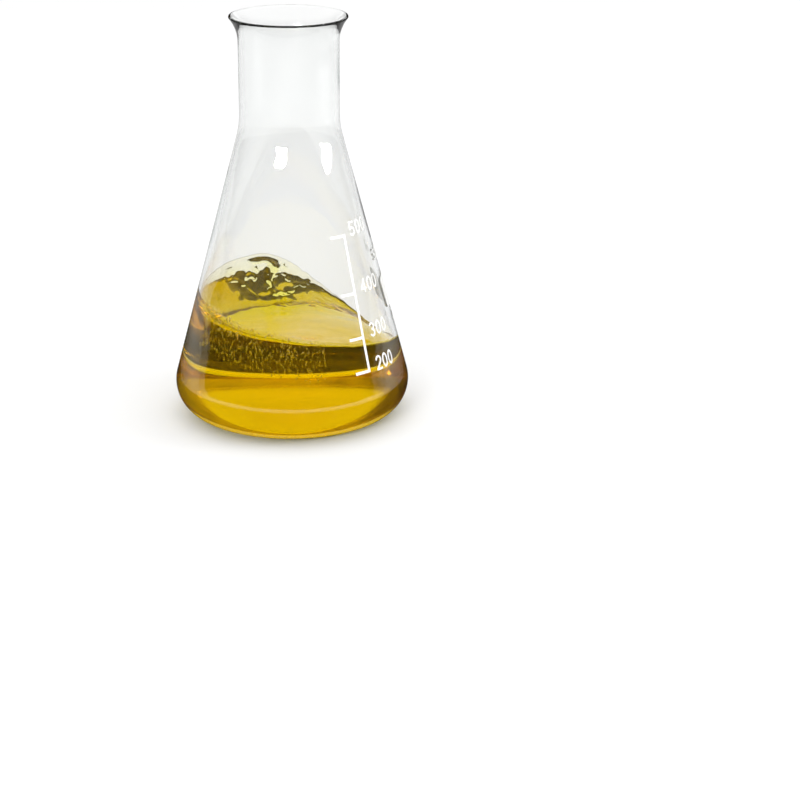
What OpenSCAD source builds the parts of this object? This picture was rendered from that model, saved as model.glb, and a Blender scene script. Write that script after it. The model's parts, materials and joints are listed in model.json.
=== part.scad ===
// Narrow-neck conical (Erlenmeyer) flask, 500 ml: one blown glass vessel, a white enamel scale and label
// fired onto its outside, and a charge of liquid culture medium swirled up its wall.
// Millimetres, +Z up, origin at the middle of the foot. Azimuths are measured from -Y towards +X.

/* [Glass] */
// Overall height
flask_h = 180; // [178:1:190]
// Widest diameter, at the heel
base_d = 105; // [102:0.5:108]
// Outside diameter of the neck
neck_d = 44; // [42:0.5:46]
// Outside diameter of the fire-polished rim
rim_d = 51.8; // [51:0.2:54]
// Thickness of the wall
wall = 1.8; // [1.5:0.1:2.2]
// Radius between foot and cone
heel_r = 15.4; // [12:0.2:16]
// Radius between cone and neck
shoulder_r = 40; // [24:1:48]
// Height at which cone and neck would meet in a sharp corner
corner_z = 132; // [128:1:136]
// Height of the flared mouth
flare_h = 11.5; // [9:0.5:13]
// Thickness of the glass at the rim
lip_t = 1.2; // [1:0.1:1.5]
// Height to which the middle of the base is pushed up
push_up = 1.2; // [0.8:0.1:2]
// Thickness of the glass in the middle of the base
base_t = 2.4; // [2:0.1:3]

/* [Scale] */
// Azimuth of the upright line of the scale
scale_az = 46; // [30:1:50]
// Width of the printed lines
line_w = 1.2; // [0.8:0.1:1.6]
// Length of a tick
tick_w = 7; // [5:0.5:9]
// Height of a numeral
numeral_h = 6.3; // [5:0.1:7]
// Thickness of the fired enamel
enamel_t = 0.15; // [0.1:0.01:0.2]

/* [Label] */
// Azimuth of the middle of the label
label_az = 97; // [96:1:140]
// Width of the white field for pencil notes
field_w = 23; // [16:1:26]
// Height of that field
field_h = 14; // [10:1:16]

/* [Medium] */
// Height of the wave's crest on the glass
crest_z = 63.5; // [56:0.5:68]
// Height of its trough on the glass
trough_z = 30; // [26:0.5:36]
// Azimuth of the crest
crest_az = 205; // [0:1:359]
// Angle over which the wave's steep front climbs from trough to crest
front_span = 85; // [60:1:180]
// Height of the surface on the flask's axis
centre_z = 41.5; // [36:0.5:46]

/* [Hidden] */
SCALE_MARKS = ["200", "300", "400", "500"];

GLASS = [0.86, 0.90, 0.89, 0.35];
ENAMEL = [0.96, 0.96, 0.94];
MEDIUM = [1.00, 0.78, 0.02, 0.85];

// Heights of the ticks: below each the flask holds its printed volume to within 4 %
tick_z = [30, 44.5, 63.6, 88.3];

$fn = 96;
foot_in_r = 26;
arc_steps = 12;
dome_steps = 6;
lip_steps = 5;
neck_r = neck_d / 2;
heel = [base_d / 2 - heel_r, heel_r];
// Radius within which the inside of the base rises towards its middle
floor_r = 0.9 * heel.x;
corner = [neck_r, corner_z];
// Half the cone's angle: its side is tangent to the heel and passes through the corner
cone_a = atan((heel.x - corner.x) / (corner.y - heel.y)) + asin(heel_r / norm(corner - heel));
shoulder = corner + [shoulder_r, shoulder_r * tan(cone_a / 2)];
// Both sides of the flare are arcs that leave the neck upright and meet the rim's small circle tangentially
lip_r = lip_t / 2;
lip = [rim_d / 2 - lip_r, flask_h - lip_r];
flare_z = flask_h - flare_h;
flare_rise = lip.y - flare_z;
flare_out_a = 2 * atan((lip.x - neck_r + lip_r) / flare_rise);
flare_out_r = flare_rise / sin(flare_out_a) - lip_r;
flare_in_a = 2 * atan((lip.x - neck_r + wall - lip_r) / flare_rise);
flare_in_r = flare_rise / sin(flare_in_a) + lip_r;
lip_in_step = (90 - flare_in_a) / 3;

medium_gap = 0.3;
tail_power = 1.35;
trough_power = 3;
crest_power = 6;
medium_sectors = 48;
heel_rings = 5;
surface_rings = 7;

// Stroke and pitch of the glyphs, for a height of one
glyph_stroke = 0.14;
glyph_pitch = 0.77;
stroke_end_a = 60;
oval_sides = 24;
// How far a numeral's feet stand below its tick, and its left edge beyond the upright line
numeral_drop = 1.2;
numeral_gap_a = 5.5;
capacity_h = 5;
capacity_z = 72;
field_z = 57;
field_corner_r = 2.5;
tolerance_h = 3;
tolerance_z = 42;
skin_low_z = heel.y + heel_r * sin(cone_a) + 1;
skin_high_z = 100;

// Points along an arc about c, from angle a0 to a1
function arc(c, r, a0, a1, steps = arc_steps) =
    [for (i = [0:steps]) let (a = a0 + (a1 - a0) * i / steps) c + r * [cos(a), sin(a)]];

// Radius of the cone's outside at height z
function cone_r(z) = corner.x + (corner.y - z) * tan(cone_a);

// Radius of a surface that lies depth inside the cone's outside, measured square to the glass
function inside_r(z, depth) = cone_r(z) - depth / cos(cone_a);

// Points of a shallow dome from radius r, height z, to the axis, higher by rise
function dome(r, z, rise) =
    [for (i = [0:dome_steps]) let (k = i / dome_steps) [r * (1 - k), z + rise * (1 - cos(180 * k)) / 2]];

// Half section of the glass: up the outside, over the lip and down the inside
function glass_section() = concat(
    [for (i = [0:dome_steps]) dome(foot_in_r, 0, push_up)[dome_steps - i]],
    arc(heel, heel_r, -90, 0),
    arc(heel, heel_r, cone_a / 2, cone_a, 1),
    arc(shoulder, shoulder_r, 180 + cone_a, 180),
    arc([neck_r + flare_out_r, flare_z], flare_out_r, 180, 180 - flare_out_a),
    arc(lip, lip_r, -flare_out_a / 2, 0, 1),
    arc(lip, lip_r, 90 / lip_steps, 90, lip_steps - 1),
    arc(lip, lip_r, 90 + lip_in_step, 90 + 2 * lip_in_step, 1),
    arc([neck_r - wall + flare_in_r, flare_z], flare_in_r, 180 - flare_in_a, 180),
    arc(shoulder, shoulder_r + wall, 180, 180 + cone_a),
    arc(heel, heel_r - wall, cone_a, -90),
    dome(floor_r, wall, push_up + base_t - wall)
);

module glass_vessel() {
    color(GLASS)
        rotate_extrude()
            polygon(glass_section());
}

// Thin coat that follows the outside of the cone
module enamel_skin() {
    rotate_extrude()
        polygon([
            [cone_r(skin_low_z), skin_low_z],
            [cone_r(skin_low_z) + enamel_t, skin_low_z],
            [cone_r(skin_high_z) + enamel_t, skin_high_z],
            [cone_r(skin_high_z), skin_high_z]
        ]);
}

// Prints a flat drawing onto the cone, with the drawing's origin at azimuth az and height z
module print_at(az, z) {
    color(ENAMEL)
        intersection() {
            enamel_skin();
            rotate([0, 0, az])
                translate([0, 0, z])
                    rotate([90, 0, 0])
                        linear_extrude(height = base_d)
                            children();
        }
}

// Direction of a path at point i
function heading(path, i) =
    let (step = path[min(i + 1, len(path) - 1)] - path[max(i - 1, 0)]) step / norm(step);

function heading_a(path, i) = atan2(heading(path, i).y, heading(path, i).x);

// Points along one side of a path, half a stroke away from it
function side(path, half) =
    [for (i = [0:len(path) - 1]) path[i] + half * [-heading(path, i).y, heading(path, i).x]];

function reversed(list) = [for (i = [len(list) - 1:-1:0]) list[i]];

// One pen stroke with round ends along a path
module stroke(path) {
    half = glyph_stroke / 2;
    last = len(path) - 1;
    end_a = heading_a(path, last);
    start_a = heading_a(path, 0);
    polygon(concat(
        side(path, half),
        arc(path[last], half, end_a + stroke_end_a, end_a - stroke_end_a, 4),
        reversed(side(path, -half)),
        arc(path[0], half, start_a + stroke_end_a - 180, start_a - stroke_end_a - 180, 4)
    ));
}

function oval(c, rx, ry) =
    [for (i = [0:oval_sides - 1]) let (a = 360 * i / oval_sides) c + [rx * cos(a), ry * sin(a)]];

// Ring-shaped stroke, as in a zero
module ring(c, rx, ry) {
    half = glyph_stroke / 2;
    difference() {
        polygon(oval(c, rx + half, ry + half));
        polygon(oval(c, rx - half, ry - half));
    }
}

// Half of an m: a stem, and the arch that leads to it
module arch(x) {
    stroke(concat([[x, 0.4]], arc([x + 0.18, 0.4], 0.18, 170, 10, 6), [[x + 0.36, 0.4], [x + 0.36, 0.07]]));
}

// A glyph one unit high, drawn about x = 0 and standing on y = 0
module glyph(name) {
    if (name == "0") ring([0, 0.5], 0.24, 0.43);
    if (name == "2") {
        stroke(concat(arc([0, 0.69], 0.24, 165, -35, 10), [[-0.25, 0.07]]));
        stroke([[-0.25, 0.07], [0.26, 0.07]]);
    }
    if (name == "3") {
        stroke(arc([-0.01, 0.72], 0.21, 150, -90, 12));
        stroke(arc([-0.01, 0.29], 0.22, 90, -150, 12));
    }
    if (name == "4") {
        stroke([[0.12, 0.93], [-0.26, 0.3]]);
        stroke([[-0.26, 0.3], [0.28, 0.3]]);
        stroke([[0.12, 0.93], [0.12, 0.07]]);
    }
    if (name == "5") {
        stroke([[0.21, 0.93], [-0.19, 0.93]]);
        stroke([[-0.19, 0.93], [-0.21, 0.52]]);
        stroke(arc([-0.01, 0.32], 0.25, 135, -145, 12));
    }
    if (name == "m") {
        stroke([[-0.36, 0.6], [-0.36, 0.07]]);
        arch(-0.36);
        arch(0);
    }
    if (name == "l") stroke([[0, 0.93], [0, 0.07]]);
    if (name == "±") {
        stroke([[-0.24, 0.58], [0.24, 0.58]]);
        stroke([[0, 0.82], [0, 0.34]]);
        stroke([[-0.24, 0.1], [0.24, 0.1]]);
    }
    if (name == "%") {
        ring([-0.22, 0.72], 0.13, 0.17);
        ring([0.22, 0.28], 0.13, 0.17);
        stroke([[0.22, 0.93], [-0.22, 0.07]]);
    }
}

// Angle from one glyph of height h to the next, around the cone at height z
function pitch_a(z, h) = glyph_pitch * h / cone_r(z) * 180 / PI;

// Prints a row of glyphs of height h around azimuth az, their feet at height z
module print_row(glyphs, az, z, h) {
    for (i = [0:len(glyphs) - 1])
        if (glyphs[i] != " ") print_at(az + (i - (len(glyphs) - 1) / 2) * pitch_a(z, h), z)
            scale(h)
                glyph(glyphs[i]);
}

// Upright line that the ticks stand against
module scale_line() {
    low = tick_z[0] - line_w / 2;
    high = tick_z[len(tick_z) - 1] + line_w / 2;
    print_at(scale_az, low)
        translate([-line_w / 2, 0])
            square([line_w, high - low]);
}

module tick(i) {
    print_at(scale_az, tick_z[i])
        translate([-line_w / 2 - tick_w, -line_w / 2])
            square([tick_w, line_w]);
}

// A volume in millilitres, to the right of its tick
module numeral(i) {
    mark = SCALE_MARKS[i];
    z = tick_z[i] - numeral_drop;
    half_a = len(mark) * pitch_a(z, numeral_h) / 2;
    print_row([for (c = mark) c], scale_az + numeral_gap_a + half_a, z, numeral_h);
}

// Nominal capacity
module capacity_mark() {
    print_row(["5", "0", "0", " ", "m", "l"], label_az, capacity_z, capacity_h);
}

// Tolerance of the scale
module tolerance_mark() {
    print_row(["±", " ", "5", "%"], label_az, tolerance_z, tolerance_h);
}

// White field for pencil notes
module marking_field() {
    x = field_w / 2 - field_corner_r;
    y = field_h / 2 - field_corner_r;
    print_at(label_az, field_z)
        polygon(concat(
            arc([x, y], field_corner_r, 0, 90, 6),
            arc([-x, y], field_corner_r, 90, 180, 6),
            arc([-x, -y], field_corner_r, 180, 270, 6),
            arc([x, -y], field_corner_r, 270, 360, 6)
        ));
}

function wrapped(a) = a - 360 * floor(a / 360);

function eased(k) = k * k * (3 - 2 * k);

// Height of the wave on the glass, from 0 in the trough to 1 on the crest: a long tail, then the steep front
function wave(az) =
    let (behind = wrapped(az - crest_az), tail_span = 360 - front_span)
    behind < tail_span ? 1 - pow(behind / tail_span, tail_power) : eased((behind - tail_span) / front_span);

function contact_z(az) = trough_z + (crest_z - trough_z) * wave(az);

// Height of the free surface a share k of the way from axis to glass, steepest where the wave is high
function surface_z(az, k) =
    centre_z + (contact_z(az) - centre_z) * pow(k, trough_power + (crest_power - trough_power) * wave(az));

// Section of the medium at one azimuth, without its two points on the axis
function medium_section(az) =
    let (
        depth = wall + medium_gap,
        floor_path = dome(floor_r, depth, push_up + base_t - wall),
        contact = [inside_r(contact_z(az), depth), contact_z(az)]
    )
    concat(
        [for (i = [dome_steps - 1:-1:0]) floor_path[i]],
        arc(heel, heel_r - depth, -90, cone_a, heel_rings),
        [contact],
        [for (i = [1:surface_rings - 1]) let (k = 1 - i / surface_rings) [contact.x * k, surface_z(az, k)]]
    );

module culture_medium() {
    sections = [for (j = [0:medium_sectors - 1]) medium_section(360 * j / medium_sectors)];
    rings = len(sections[0]);
    around = [
        for (j = [0:medium_sectors - 1], p = sections[j])
            let (az = 360 * j / medium_sectors) [p.x * sin(az), -p.x * cos(az), p.y]
    ];
    floor_point = len(around);
    top_point = floor_point + 1;
    points = concat(around, [[0, 0, push_up + base_t + medium_gap], [0, 0, centre_z]]);
    // Each pair of neighbouring sections is joined by two triangles a step, and by one at either end
    faces = [
        for (j = [0:medium_sectors - 1])
            let (here = j * rings, next = ((j + 1) % medium_sectors) * rings)
            each concat(
                [[floor_point, here, next]],
                [for (i = [0:rings - 2]) [here + i, here + i + 1, next + i + 1]],
                [for (i = [0:rings - 2]) [here + i, next + i + 1, next + i]],
                [[here + rings - 1, top_point, next + rings - 1]]
            )
    ];
    color(MEDIUM)
        polyhedron(points = points, faces = faces);
}

glass_vessel();
scale_line();
for (i = [0:len(SCALE_MARKS) - 1]) {
    tick(i);
    numeral(i);
}
capacity_mark();
marking_field();
tolerance_mark();
culture_medium();
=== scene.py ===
"""A 500 ml Erlenmeyer flask of borosilicate glass, with an enamel scale and a swirled yellow medium.

Everything is in the frame of the CAD model: metres, +Z up, the origin in the middle of the foot, -Y
towards the reader. Outlines are worked out in millimetres and scaled once, when a mesh is made. Azimuths
are in degrees, measured from -Y towards +X, as in the CAD model.
"""
import json
import math
import random

import bpy
from mathutils import Matrix, Quaternion, Vector, noise


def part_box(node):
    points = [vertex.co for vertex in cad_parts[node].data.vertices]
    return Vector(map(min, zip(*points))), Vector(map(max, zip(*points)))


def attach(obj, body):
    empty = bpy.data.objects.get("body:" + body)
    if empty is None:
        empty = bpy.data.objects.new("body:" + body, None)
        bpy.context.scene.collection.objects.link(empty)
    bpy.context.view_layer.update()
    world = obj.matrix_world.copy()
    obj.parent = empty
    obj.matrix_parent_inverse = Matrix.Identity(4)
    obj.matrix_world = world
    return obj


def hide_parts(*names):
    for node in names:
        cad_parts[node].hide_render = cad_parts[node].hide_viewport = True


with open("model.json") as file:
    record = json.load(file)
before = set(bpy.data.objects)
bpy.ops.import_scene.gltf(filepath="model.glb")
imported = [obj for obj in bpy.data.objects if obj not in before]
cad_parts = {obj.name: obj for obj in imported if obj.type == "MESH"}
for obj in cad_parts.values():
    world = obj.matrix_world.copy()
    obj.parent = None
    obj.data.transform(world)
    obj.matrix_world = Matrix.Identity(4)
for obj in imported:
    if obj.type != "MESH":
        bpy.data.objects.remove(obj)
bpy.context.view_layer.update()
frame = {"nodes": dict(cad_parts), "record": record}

MM = 0.001

# ------------------------------------------------ driving dimensions, in millimetres and degrees

glass_low, glass_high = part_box("glass_vessel")
FLASK_H = glass_high.z / MM
BASE_R = glass_high.x / MM
NECK_R = 22.0
RIM_R = 25.9
WALL = 1.8
HEEL_R = 15.4
SHOULDER_R = 40.0
CORNER_Z = 132.0
FLARE_H = 11.5
LIP_T = 1.2
FOOT_IN_R = 26.0
PUSH_UP = 1.2
BASE_T = 2.4

CREST_Z = 63.5
TROUGH_Z = 30.0
CREST_AZ = 205.0
FRONT_SPAN = 85.0
TAIL_POWER = 1.35
CENTRE_Z = 41.5

# The liquid's edge: the torn front of the wave, the rippled stretch ahead of it, and the film on the glass
MENISCUS_H = 1.0
MENISCUS_L = 1.2
FRONT_AZ = 165.0
RIPPLE_AZ = 118.0
RIPPLE_PITCH_A = 5.2
RIPPLE_PITCH_R = 9.0
FILM_AZ = 192.0
FILM_SPREAD = 28.0
FILM_LOW_Z = 43.0
CLIMB_H = 8.0
FLOOR_SHARE = 0.9        # the inside of the base rises within this share of the flat's radius
EMBED = 0.25             # how deep the liquid overlaps the glass

BUBBLES = 700
BUBBLE_AZ = (-62, 22)
BUBBLE_R = (0.12, 0.36)
BUBBLE_DROP = 17.0       # how far below the liquid's edge the lowest bubbles are
BUBBLE_DEEP = 4.0        # how far from the glass the deepest bubbles are

# ---------------------------------------------------------------- outlines


def arc(cx, cz, r, a0, a1, step=3.0):
    """Points along an arc about (cx, cz), from angle a0 to a1 in degrees."""
    n = max(1, math.ceil(abs(a1 - a0) / step))
    angles = [math.radians(a0 + (a1 - a0) * i / n) for i in range(n + 1)]
    return [(cx + r * math.cos(a), cz + r * math.sin(a)) for a in angles]


def dome(r, z, rise, steps=10):
    """A shallow dome, from radius r at height z to the axis, higher by rise."""
    ks = [i / steps for i in range(steps + 1)]
    return [(r * (1 - k), z + rise * (1 - math.cos(math.pi * k)) / 2) for k in ks]


def filled(path, longest=2.5):
    """The path with points added, so that no step is longer than that many millimetres."""
    out = [path[0]]
    for (r0, z0), (r1, z1) in zip(path, path[1:]):
        n = max(1, math.ceil(math.hypot(r1 - r0, z1 - z0) / longest))
        out += [(r0 + (r1 - r0) * i / n, z0 + (z1 - z0) * i / n) for i in range(1, n + 1)]
    return out


HEEL = (BASE_R - HEEL_R, HEEL_R)
CONE_A = math.degrees(
    math.atan((HEEL[0] - NECK_R) / (CORNER_Z - HEEL[1]))
    + math.asin(HEEL_R / math.hypot(NECK_R - HEEL[0], CORNER_Z - HEEL[1]))
)
TAN_A = math.tan(math.radians(CONE_A))
COS_A = math.cos(math.radians(CONE_A))
SHOULDER = (NECK_R + SHOULDER_R, CORNER_Z + SHOULDER_R * math.tan(math.radians(CONE_A / 2)))
LIP_R = LIP_T / 2
LIP = (RIM_R - LIP_R, FLASK_H - LIP_R)
FLARE_Z = FLASK_H - FLARE_H
FLARE_RISE = LIP[1] - FLARE_Z
FLARE_OUT_A = math.degrees(2 * math.atan((LIP[0] - NECK_R + LIP_R) / FLARE_RISE))
FLARE_OUT_R = FLARE_RISE / math.sin(math.radians(FLARE_OUT_A)) - LIP_R
FLARE_IN_A = math.degrees(2 * math.atan((LIP[0] - NECK_R + WALL - LIP_R) / FLARE_RISE))
FLARE_IN_R = FLARE_RISE / math.sin(math.radians(FLARE_IN_A)) + LIP_R


def inside_r(z, depth):
    """Radius at height z of a cone that lies depth inside the glass, measured square to it."""
    return NECK_R + (CORNER_Z - z) * TAN_A - depth / COS_A


def outside_path():
    """Half section of the glass's outside, from the axis up to the lip."""
    return filled(
        dome(FOOT_IN_R, 0, PUSH_UP)[::-1]
        + arc(*HEEL, HEEL_R, -90, CONE_A)
        + arc(*SHOULDER, SHOULDER_R, 180 + CONE_A, 180, 1.5)
        + arc(NECK_R + FLARE_OUT_R, FLARE_Z, FLARE_OUT_R, 180, 180 - FLARE_OUT_A)
    )


def lip_path():
    return arc(*LIP, LIP_R, -FLARE_OUT_A, 180 - FLARE_IN_A, 10)[1:-1]


def inside_path():
    """Half section of the glass's inside, from the lip down to the axis."""
    return filled(
        arc(NECK_R - WALL + FLARE_IN_R, FLARE_Z, FLARE_IN_R, 180 - FLARE_IN_A, 180)
        + arc(*SHOULDER, SHOULDER_R + WALL, 180, 180 + CONE_A, 1.5)
        + arc(*HEEL, HEEL_R - WALL, CONE_A, -90)
        + dome(HEEL[0] * FLOOR_SHARE, WALL, PUSH_UP + BASE_T - WALL)
    )


# ---------------------------------------------------------------- meshes


def add_mesh(name, points, faces, material):
    """A smooth-shaded object from points in millimetres."""
    mesh = bpy.data.meshes.new(name)
    mesh.from_pydata([(x * MM, y * MM, z * MM) for x, y, z in points], [], faces)
    mesh.polygons.foreach_set("use_smooth", [True] * len(mesh.polygons))
    mesh.materials.append(material)
    mesh.update()
    piece = bpy.data.objects.new(name, mesh)
    bpy.context.scene.collection.objects.link(piece)
    return piece


def at(az, r, z):
    a = math.radians(az)
    return (r * math.sin(a), -r * math.cos(a), z)


def revolve(sections):
    """Points and faces of a closed body from one section per azimuth, each from axis to axis."""
    sectors, rings = len(sections), len(sections[0]) - 2
    points = []
    for j, section in enumerate(sections):
        points += [at(360 * j / sectors, r, z) for r, z in section[1:-1]]
    low, high = len(points), len(points) + 1
    points += [at(0, 0, sections[0][0][1]), at(0, 0, sections[0][-1][1])]
    faces = []
    for j in range(sectors):
        here, there = j * rings, (j + 1) % sectors * rings
        faces.append((low, there, here))
        faces += [(here + i, there + i, there + i + 1, here + i + 1) for i in range(rings - 1)]
        faces.append((here + rings - 1, there + rings - 1, high))
    return points, faces


def wander(az, z):
    """How far the blown inside wanders from its nominal surface, in millimetres."""
    a = math.radians(az)
    slow = 0.05 * math.sin(3 * a + z / 9) + 0.035 * math.sin(5 * a - z / 14 + 1)
    return slow + 0.03 * math.sin(2 * a + z / 5)


def glass_body(material):
    sectors = 256
    outward = 1 / math.cos(math.pi / sectors)
    outer = [(r * outward, z) for r, z in outside_path() + lip_path()]
    inner = inside_path()
    sections = []
    for j in range(sectors):
        az = 360 * j / sectors
        sections.append(outer + [(r + wander(az, z) * min(1, r / 10), z) for r, z in inner])
    return add_mesh("glass_body", *revolve(sections), material)


# ---------------------------------------------------------------- the medium


def eased(k):
    return k * k * (3 - 2 * k)


def wave(az):
    """Height of the swirl on the glass, as a share of the way from trough to crest."""
    behind = (az - CREST_AZ) % 360
    tail = 360 - FRONT_SPAN
    if behind < tail:
        return 1 - (behind / tail) ** TAIL_POWER
    return eased((behind - tail) / FRONT_SPAN)


def near(az, centre, width):
    """A bump that is 1 at azimuth centre and fades over width degrees."""
    gap = (az - centre + 180) % 360 - 180
    return math.exp(-(gap / width) ** 2)


def bumps(x, y, z):
    """Smooth noise, about -1 to 1, at a point in space."""
    return noise.noise(Vector((x, y, z)))


def contact_z(az):
    """Height at which the liquid's surface meets the glass."""
    wobble = 0.35 * bumps(*at(az, 4, 0)) + 0.2 * bumps(*at(az, 11, 5))
    rough = 1.4 * near(az, FRONT_AZ, 30) * bumps(*at(az, 16, 9))
    return TROUGH_Z + (CREST_Z - TROUGH_Z) * wave(az) + wobble + rough


def share_between(value, low, high):
    """0 up to low, 1 from high on, and a smooth step between them."""
    return eased(min(1, max(0, (value - low) / (high - low))))


def surface_z(az, r, edge_r, edge_z):
    """Height of the free surface at radius r, where it meets the glass at edge_r and edge_z."""
    k = r / edge_r
    high = wave(az)
    meniscus = MENISCUS_H * (1 - 0.8 * high)
    z = CENTRE_Z + (edge_z - meniscus - CENTRE_Z) * k ** (3 + 3 * high)
    z += meniscus * math.exp(-(edge_r - r) / MENISCUS_L)
    x, y, _ = at(az, r, 0)
    calm = 0.55 * bumps(x / 11, y / 11, 3) + 0.2 * bumps(x / 5, y / 5, 8)
    torn = bumps(x / 6, y / 6, 1) + 0.5 * bumps(x / 2.6, y / 2.6, 2)
    front = near(az, FRONT_AZ, 38) * eased(min(1, k * 1.15))
    ahead = near(az, RIPPLE_AZ, 26) * k ** 3
    ripples = math.sin(2 * math.pi * (az / RIPPLE_PITCH_A + r / RIPPLE_PITCH_R))
    relief = calm + 1.5 * front * torn + 0.16 * ahead * ripples
    return z + k * (1 - k ** 8) * relief


def lump(az, z, edge_z):
    """Extra thickness of the torn film at height z, under an edge at height edge_z."""
    above = share_between(z, FILM_LOW_Z, FILM_LOW_Z + 4)
    where = near(az, FILM_AZ, FILM_SPREAD) * above * share_between(edge_z - z, 1, 4)
    x, y, _ = at(az, 40, 0)
    swell = bumps(x / 7, y / 7, z / 6)
    blot = share_between(bumps(x / 8, y / 8, z / 6 + 3), 0.0, 0.25)
    fleck = share_between(bumps(x / 3, y / 3, z / 2.6 + 9), 0.15, 0.4)
    return where * (0.6 * swell + 4.5 * blot + 2 * fleck)


def bubble(centre, radius, height):
    """Points and faces of a small cavity. Its faces look inwards, because the liquid is outside it."""
    around, rings = 8, 4
    x, y, z = centre
    points = []
    for i in range(1, rings + 1):
        polar = math.pi * i / (rings + 1)
        ring_r, ring_z = radius * math.sin(polar), z + height * math.cos(polar)
        for j in range(around):
            a = 2 * math.pi * j / around
            points.append((x + ring_r * math.cos(a), y + ring_r * math.sin(a), ring_z))
    top, bottom = len(points), len(points) + 1
    points += [(x, y, z + height), (x, y, z - height)]
    faces = []
    for j in range(around):
        there = (j + 1) % around
        faces.append((top, there, j))
        for i in range(rings - 1):
            here, below = i * around, (i + 1) * around
            faces.append((here + j, here + there, below + there, below + j))
        faces.append((bottom, (rings - 1) * around + j, (rings - 1) * around + there))
    return points, faces


def with_bubbles(points, faces):
    """The medium with small air bubbles along the glass, where the wave has just passed."""
    draw = random.Random(11)
    for _ in range(BUBBLES):
        az = draw.uniform(*BUBBLE_AZ)
        z = contact_z(az) - 0.8 - draw.uniform(0, 1) ** 1.3 * BUBBLE_DROP
        size = draw.uniform(*BUBBLE_R)
        long = size * draw.uniform(1, 2.6)
        deep = draw.uniform(0, 1) ** 2 * BUBBLE_DEEP
        r = inside_r(z - long, WALL) - size - 0.05 - deep
        more_points, more_faces = bubble(at(az, r, z), size, long)
        first = len(points)
        points = points + more_points
        faces = faces + [tuple(first + i for i in face) for face in more_faces]
    return points, faces


def climb_depth(t, climb):
    """Thickness of the film that climbs the glass, a share t of the way down its height."""
    return min(1, climb / 3) * (0.12 * t ** 0.6 + 0.75 * t + 0.9 * t ** 4)


def medium_body(material):
    """The liquid, from the base up its side to its edge, and back over the free surface to the axis."""
    sectors, side_rings, climb_rings, rings = 360, 14, 12, 84
    depth = WALL - EMBED
    floor = filled(dome(HEEL[0] * FLOOR_SHARE, depth, PUSH_UP + BASE_T - WALL)[::-1], 3)
    heel = arc(*HEEL, HEEL_R - depth, -90, CONE_A, 4)
    start_z = heel[-1][1]
    sections = []
    for j in range(sectors):
        az = 360 * j / sectors
        edge_z = contact_z(az)
        side = [start_z + (edge_z - start_z) * i / side_rings for i in range(1, side_rings + 1)]
        side.append(edge_z + 0.08)
        section = floor + heel + [(inside_r(z, depth), z) for z in side]
        climb = 0.4 + CLIMB_H * wave(az) ** 2
        for i in range(climb_rings):
            t = (i / climb_rings) ** 1.7
            z = edge_z - climb * t
            section.append((inside_r(z, WALL) - climb_depth(t, climb) - lump(az, z, edge_z), z))
        film_z = edge_z - climb
        film_r = inside_r(film_z, WALL) - climb_depth(1, climb)
        for i in range(rings):
            r = film_r * (1 - (i / rings) ** 1.5)
            z = surface_z(az, r, film_r, film_z)
            pull = lump(az, z, edge_z) * share_between(r / film_r, 0.5, 0.8)
            section.append((max(0.2, r - pull), z))
        section.append((0, CENTRE_Z + 0.55 * bumps(0, 0, 3)))
        sections.append(section)
    return add_mesh("medium_body", *with_bubbles(*revolve(sections)), material)


# ---------------------------------------------------------------- materials


def node_material(name):
    """An empty node material with its Principled shader, and a function that adds nodes to it."""
    material = bpy.data.materials.new(name)
    material.use_nodes = True
    tree = material.node_tree
    shader = tree.nodes["Principled BSDF"]

    def add(kind, **values):
        node = tree.nodes.new(kind)
        for key, value in values.items():
            if hasattr(node, key):
                setattr(node, key, value)
            else:
                node.inputs[key.replace("_", " ").title()].default_value = value
        return node

    return material, tree.links.new, shader, add


def object_noise(link, add, scale, detail=3.0):
    """Noise in the object's own coordinates."""
    place = add("ShaderNodeTexCoord")
    texture = add("ShaderNodeTexNoise", scale=scale, detail=detail)
    link(place.outputs["Object"], texture.inputs["Vector"])
    return texture.outputs["Fac"]


def two_tone(link, add, fac, dark, light, low=0.3, high=0.7):
    ramp = add("ShaderNodeValToRGB")
    ramp.color_ramp.elements[0].position = low
    ramp.color_ramp.elements[0].color = (*dark, 1)
    ramp.color_ramp.elements[1].position = high
    ramp.color_ramp.elements[1].color = (*light, 1)
    link(fac, ramp.inputs["Fac"])
    return ramp.outputs["Color"]


def glass_material():
    material, link, shader, add = node_material("glass")
    shader.inputs["Transmission Weight"].default_value = 1
    shader.inputs["IOR"].default_value = 1.473
    shader.inputs["Roughness"].default_value = 0
    streaks = object_noise(link, add, 9)
    tone = two_tone(link, add, streaks, (0.955, 0.96, 0.957), (0.97, 0.975, 0.972))
    link(tone, shader.inputs["Base Color"])
    absorb = add("ShaderNodeVolumeAbsorption", density=10.0)
    absorb.inputs["Color"].default_value = (0.2, 0.32, 0.28, 1)
    link(absorb.outputs["Volume"], material.node_tree.nodes["Material Output"].inputs["Volume"])
    cords = add("ShaderNodeBump", strength=0.02, distance=0.001)
    link(object_noise(link, add, 60, 2), cords.inputs["Height"])
    link(cords.outputs["Normal"], shader.inputs["Normal"])
    return material


def medium_material():
    material, link, shader, add = node_material("medium")
    shader.inputs["Transmission Weight"].default_value = 1
    shader.inputs["IOR"].default_value = 1.336
    shader.inputs["Roughness"].default_value = 0
    cloud = object_noise(link, add, 40)
    tone = two_tone(link, add, cloud, (0.985, 0.97, 0.86), (1.0, 0.99, 0.92))
    link(tone, shader.inputs["Base Color"])
    absorb = add("ShaderNodeVolumeAbsorption", density=120.0)
    absorb.inputs["Color"].default_value = (0.9975, 0.9525, 0.04, 1)
    haze = add("ShaderNodeVolumeScatter", density=2.0)
    haze.inputs["Color"].default_value = (1, 1, 0.9, 1)
    both = add("ShaderNodeAddShader")
    link(absorb.outputs["Volume"], both.inputs[0])
    link(haze.outputs["Volume"], both.inputs[1])
    link(both.outputs["Shader"], material.node_tree.nodes["Material Output"].inputs["Volume"])
    return material


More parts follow.
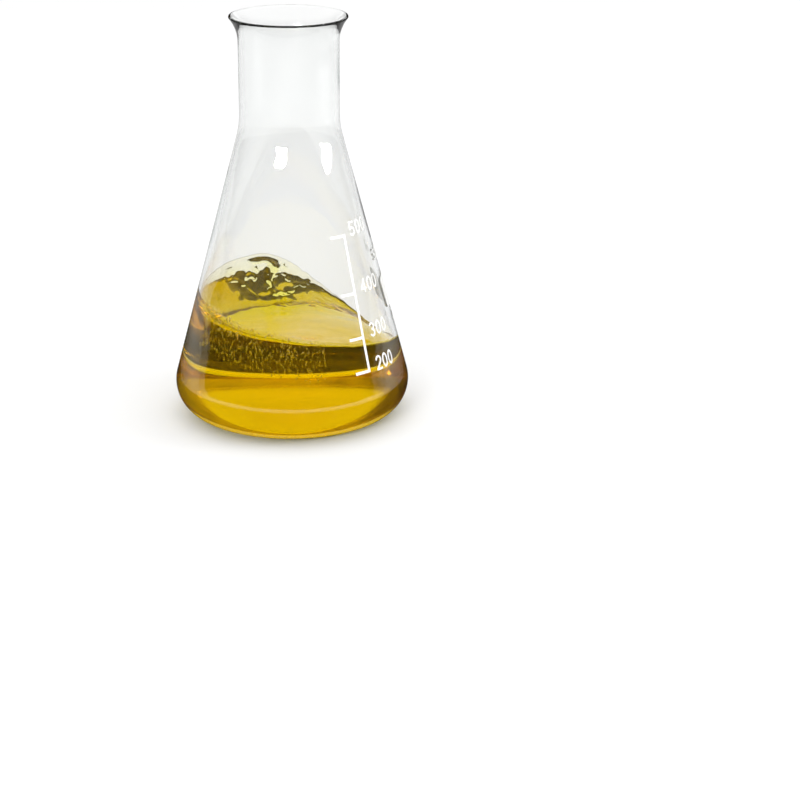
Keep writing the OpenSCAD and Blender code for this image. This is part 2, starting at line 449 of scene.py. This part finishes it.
def enamel_material():
    material, link, shader, add = node_material("enamel")
    shader.inputs["Roughness"].default_value = 0.35
    mottle = object_noise(link, add, 900, 4)
    tone = two_tone(link, add, mottle, (0.82, 0.82, 0.8), (0.95, 0.95, 0.93))
    link(tone, shader.inputs["Base Color"])
    grain = add("ShaderNodeBump", strength=0.3, distance=0.00005)
    link(object_noise(link, add, 2500, 2), grain.inputs["Height"])
    link(grain.outputs["Normal"], shader.inputs["Normal"])
    return material


def floor_material():
    material, link, shader, add = node_material("floor")
    shader.inputs["Specular IOR Level"].default_value = 0
    paper = object_noise(link, add, 3)
    link(two_tone(link, add, paper, (0.9, 0.9, 0.9), (0.92, 0.92, 0.92)), shader.inputs["Base Color"])
    return material


# ---------------------------------------------------------------- studio


def add_floor():
    half = 6.0
    gap = 0.0002
    mesh = bpy.data.meshes.new("floor")
    corners = [(-half, -half, -gap), (half, -half, -gap), (half, half, -gap), (-half, half, -gap)]
    mesh.from_pydata(corners, [], [(0, 1, 2, 3)])
    mesh.materials.append(floor_material())
    floor = bpy.data.objects.new("floor", mesh)
    bpy.context.scene.collection.objects.link(floor)


def add_light(name, az, elevation, roll, size, power):
    """A flat elliptical lamp that faces the shoulder, turned about its own axis by roll degrees."""
    distance = 0.9
    target = Vector((0, 0, 0.12))
    lamp = bpy.data.lights.new(name, "AREA")
    lamp.shape = "ELLIPSE"
    lamp.size, lamp.size_y = size
    lamp.energy = power
    light = bpy.data.objects.new(name, lamp)
    a, e = math.radians(az), math.radians(elevation)
    away = Vector((math.sin(a) * math.cos(e), -math.cos(a) * math.cos(e), math.sin(e)))
    light.location = target + away * distance
    light.rotation_mode = "QUATERNION"
    light.rotation_quaternion = Quaternion(away, math.radians(roll)) @ away.to_track_quat("Z", "Y")
    light.visible_camera = False
    bpy.context.scene.collection.objects.link(light)


def add_card(name, points, material, glossy, transmission):
    """A flat card that the camera, the floor and the shadows never see, only the light in the glass."""
    mesh = bpy.data.meshes.new(name)
    mesh.from_pydata(points, [], [range(len(points))])
    mesh.materials.append(material)
    card = bpy.data.objects.new(name, mesh)
    bpy.context.scene.collection.objects.link(card)
    card.visible_camera = card.visible_diffuse = card.visible_shadow = False
    card.visible_glossy = glossy
    card.visible_transmission = transmission


def disc(r, y, z):
    """A disc of radius r on the floor, its middle a little behind the foot's by y."""
    turns = [2 * math.pi * i / 96 for i in range(96)]
    return [(r * math.cos(a), y + r * math.sin(a), z) for a in turns]


def card_material(name, dark, light, low, high):
    """Matt paper that is dark up to a distance low from the foot and lighter from high on, in metres."""
    material, link, shader, add = node_material(name)
    shader.inputs["Specular IOR Level"].default_value = 0
    place = add("ShaderNodeTexCoord")
    away = add("ShaderNodeVectorMath", operation="LENGTH")
    link(place.outputs["Object"], away.inputs[0])
    link(two_tone(link, add, away.outputs["Value"], dark, light, low, high), shader.inputs["Base Color"])
    return material


def add_cards():
    """A dark mat as on a shaker, a dark horizon, and a glow for the light that a real haze scatters."""
    black, grey = (0.02, 0.018, 0.016), (0.4, 0.4, 0.4)
    mat_z = -0.00015
    mat = card_material("mat", black, black, 0.1, 0.2)
    add_card("mat", disc(0.125, 0, mat_z), mat, False, True)
    mirrored = card_material("mirrored", black, grey, 0.15, 0.35)
    add_card("mat_mirrored", disc(1.0, 0, mat_z), mirrored, True, False)
    count, far, top = 48, 1.0, 0.42
    for i in range(count):
        a0, a1 = (2 * math.pi * k / count for k in (i, i + 1))
        low = [(far * math.sin(a), far * math.cos(a), 0) for a in (a0, a1)]
        high = [(x, y, top) for x, y, _ in low[::-1]]
        add_card(f"horizon_{i}", low + high, mat, True, False)
    material, link, shader, add = node_material("glow")
    shader.inputs["Base Color"].default_value = (0, 0, 0, 1)
    shader.inputs["Emission Color"].default_value = (1, 0.97, 0.9, 1)
    shader.inputs["Emission Strength"].default_value = 0.85
    add_card("glow", disc(0.054, 0.01, -0.0001), material, False, True)


def add_world():
    """A white studio, dark low down except behind the flask, so that the glass mirrors no haze."""
    world = bpy.data.worlds.new("studio")
    world.use_nodes = True
    tree = world.node_tree
    direction = tree.nodes.new("ShaderNodeTexCoord")
    parts = tree.nodes.new("ShaderNodeSeparateXYZ")
    tree.links.new(direction.outputs["Generated"], parts.inputs["Vector"])

    def step(socket, low, high, low_value, high_value):
        node = tree.nodes.new("ShaderNodeMapRange")
        node.interpolation_type = "SMOOTHSTEP"
        node.inputs["From Min"].default_value = low
        node.inputs["From Max"].default_value = high
        node.inputs["To Min"].default_value = low_value
        node.inputs["To Max"].default_value = high_value
        tree.links.new(socket, node.inputs["Value"])
        return node.outputs["Result"]

    not_behind = step(parts.outputs["Y"], 0.45, 0.95, 0.95, 0.0)
    low_down = step(parts.outputs["Z"], 0.2, 0.55, 1.0, 0.0)
    dark = tree.nodes.new("ShaderNodeMath")
    dark.operation = "MULTIPLY"
    tree.links.new(not_behind, dark.inputs[0])
    tree.links.new(low_down, dark.inputs[1])
    background = tree.nodes["Background"]
    background.inputs["Color"].default_value = (1, 1, 1, 1)
    tree.links.new(step(dark.outputs[0], 0.0, 1.0, 1.2, 0.0), background.inputs["Strength"])
    bpy.context.scene.world = world


def add_camera():
    pitch, roll = 0.344, 0.005
    camera_data = bpy.data.cameras.new("camera")
    camera_data.sensor_width = 36
    camera_data.lens = 105.4
    camera_data.clip_start, camera_data.clip_end = 0.01, 50
    camera = bpy.data.objects.new("camera", camera_data)
    turn = Matrix.Rotation(math.pi / 2 - pitch, 4, "X") @ Matrix.Rotation(roll, 4, "Z")
    camera.matrix_world = Matrix.Translation((0.0489, -1.0049, 0.3642)) @ turn
    bpy.context.scene.collection.objects.link(camera)
    bpy.context.scene.camera = camera


# ---------------------------------------------------------------- build

glass = glass_body(glass_material())
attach(glass, "vessel")
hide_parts("glass_vessel")

medium = medium_body(medium_material())
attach(medium, "medium")
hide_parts("culture_medium")

enamel = enamel_material()
for row in frame["record"]["subparts"]:
    if row["material_slot"] == "enamel":
        node = frame["nodes"][row["node"]]
        node.data.materials.clear()
        node.data.materials.append(enamel)

add_floor()
add_world()
add_light("key", -15.8, 15.33, 3, (0.375, 0.015), 3)
add_light("right", 87, 8.67, -7, (0.5, 0.034), 3)
add_cards()
add_camera()
bpy.context.scene.view_settings.view_transform = "Standard"
light_paths = bpy.context.scene.cycles
light_paths.max_bounces = 40
light_paths.transmission_bounces = 40
light_paths.glossy_bounces = 40
light_paths.diffuse_bounces = 4
light_paths.volume_bounces = 4
